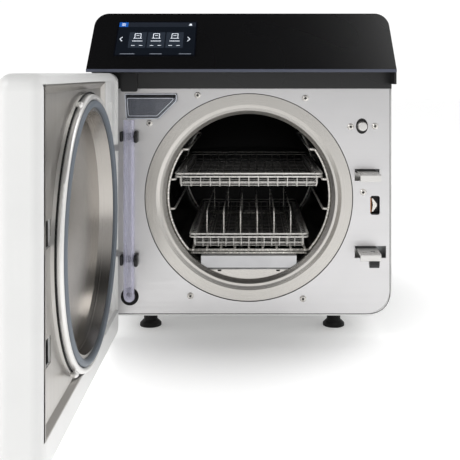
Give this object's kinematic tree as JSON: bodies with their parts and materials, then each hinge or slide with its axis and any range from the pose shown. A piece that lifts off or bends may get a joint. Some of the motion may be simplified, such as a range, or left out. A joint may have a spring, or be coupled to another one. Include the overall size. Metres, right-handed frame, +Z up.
{
  "type": "steam sterilizer",
  "caption": "Bench-top steam sterilizer with a round chamber, an open swinging door, sliding wire trays and a slanted touch console.",
  "frame": {"origin": "centre of the front left foot's sole, on the bench", "axes": "+X to the right as seen from the front, +Y from the front to the back, +Z up"},
  "size_m": [0.5333, 1.063, 0.55],
  "materials": {
    "black_console": "satin",
    "black_plastic": "matt",
    "black_rubber": "matt",
    "brushed_steel": "brushed",
    "circuit_board": "satin",
    "clear_plastic": "gloss",
    "copper_pipe": "satin",
    "galvanised_steel": "dull",
    "gasket_rubber": "matt",
    "grey_plastic": "satin",
    "insulation": "matt",
    "lip_trim": "gloss",
    "orange_seal": "matt",
    "polished_steel": "polished",
    "screen": "gloss",
    "steel_wire": "polished",
    "white_plastic": "satin",
    "white_shell": "satin"
  },
  "bodies": {
    "cabinet": {"outer_shell": "white_shell", "base_plate": "galvanised_steel", "rear_panel": "white_shell", "front_panel": "brushed_steel", "frame_posts": "galvanised_steel", "chamber_flange": "polished_steel", "chamber_vessel": "polished_steel", "insulation_jacket": "insulation", "water_dam": "polished_steel", "heater_guard": "grey_plastic", "heating_element": "galvanised_steel", "temperature_probe": "polished_steel", "fill_funnel": "clear_plastic", "drain_tube": "clear_plastic", "tube_clips": "black_plastic", "tube_grommet": "black_rubber", "panel_screws": "polished_steel", "door_switch": "black_plastic", "upper_latch_bracket": "brushed_steel", "lower_latch_bracket": "brushed_steel", "lower_catch": "black_plastic", "lock_body": "black_plastic", "lock_strip": "orange_seal", "console_housing": "black_console", "console_trim": "lip_trim", "touch_display": "screen", "top_cover": "black_console", "hinge_cover": "black_plastic", "hinge_arms": "galvanised_steel", "water_reservoir": "white_plastic", "condensing_coil": "copper_pipe", "fill_valve": "copper_pipe", "vent_valve": "copper_pipe", "relief_valve": "copper_pipe", "control_board": "circuit_board", "power_inlet": "black_plastic", "power_switch": "black_plastic"},
    "door": {"door_shell": "white_shell", "door_cover": "white_plastic", "door_liner": "brushed_steel", "door_ring": "polished_steel", "door_gasket": "gasket_rubber", "door_dish": "polished_steel", "door_yoke": "galvanised_steel", "hinge_lugs": "galvanised_steel", "hinge_pins": "polished_steel", "latch_guides": "galvanised_steel"},
    "door_handle": {"door_handle": "black_plastic"},
    "latch_bar": {"latch_bar": "galvanised_steel"},
    "tray_rack": {"tray_rack": "steel_wire"},
    "upper_tray": {"upper_tray": "steel_wire"},
    "lower_tray": {"lower_tray": "steel_wire", "pouch_rack": "steel_wire"},
    "switch_plunger": {"switch_plunger": "grey_plastic"},
    "lock_hook": {"lock_hook": "polished_steel"},
    "power_rocker": {"power_rocker": "black_plastic"},
    "foot_front_left": {"foot_front_left": "black_rubber"},
    "foot_front_right": {"foot_front_right": "black_rubber"},
    "foot_rear_left": {"foot_rear_left": "black_rubber"},
    "foot_rear_right": {"foot_rear_right": "black_rubber"}
  },
  "joints": [
    {"name": "door_hinge", "type": "hinge", "parent": "cabinet", "child": "door", "pos_m": [-0.0625, -0.111, 0.23], "axis": [0, 0, -1], "range_deg": [-90, 15]},
    {"name": "handle_turn", "type": "hinge", "parent": "door", "child": "door_handle", "pos_m": [-0.0625, -0.5466, 0.217], "axis": [1, 0, 0], "range_deg": [0, 40]},
    {"name": "latch_slide", "type": "slide", "parent": "door", "child": "latch_bar", "axis": [0, 0, -1], "range_m": [0, 0.008]},
    {"name": "rack_slide", "type": "slide", "parent": "cabinet", "child": "tray_rack", "axis": [0, -1, 0], "range_m": [0, 0.25]},
    {"name": "upper_tray_slide", "type": "slide", "parent": "tray_rack", "child": "upper_tray", "axis": [0, -1, 0], "range_m": [0, 0.28]},
    {"name": "lower_tray_slide", "type": "slide", "parent": "tray_rack", "child": "lower_tray", "axis": [0, -1, 0], "range_m": [0, 0.28]},
    {"name": "plunger_press", "type": "slide", "parent": "cabinet", "child": "switch_plunger", "axis": [0, 1, 0], "range_m": [0, 0.006], "stiffness_N_per_m": 200},
    {"name": "lock_hook_slide", "type": "slide", "parent": "cabinet", "child": "lock_hook", "axis": [1, 0, 0], "range_m": [0, 0.004]},
    {"name": "power_rocker_tilt", "type": "hinge", "parent": "cabinet", "child": "power_rocker", "pos_m": [0.0725, 0.479, 0.11], "axis": [1, 0, 0], "range_deg": [-6, 6]},
    {"name": "foot_front_left_turn", "type": "hinge", "parent": "cabinet", "child": "foot_front_left", "pos_m": [0, 0, 0.02], "axis": [0, 0, 1], "continuous": true},
    {"name": "foot_front_right_turn", "type": "hinge", "parent": "cabinet", "child": "foot_front_right", "pos_m": [0.325, 0, 0.02], "axis": [0, 0, 1], "continuous": true},
    {"name": "foot_rear_left_turn", "type": "hinge", "parent": "cabinet", "child": "foot_rear_left", "pos_m": [0, 0.404, 0.02], "axis": [0, 0, 1], "continuous": true},
    {"name": "foot_rear_right_turn", "type": "hinge", "parent": "cabinet", "child": "foot_rear_right", "pos_m": [0.325, 0.404, 0.02], "axis": [0, 0, 1], "continuous": true}
  ],
  "couplings": [
    {"joint": "latch_slide", "follows": "handle_turn", "m_per_rad": 0.011459}
  ]
}
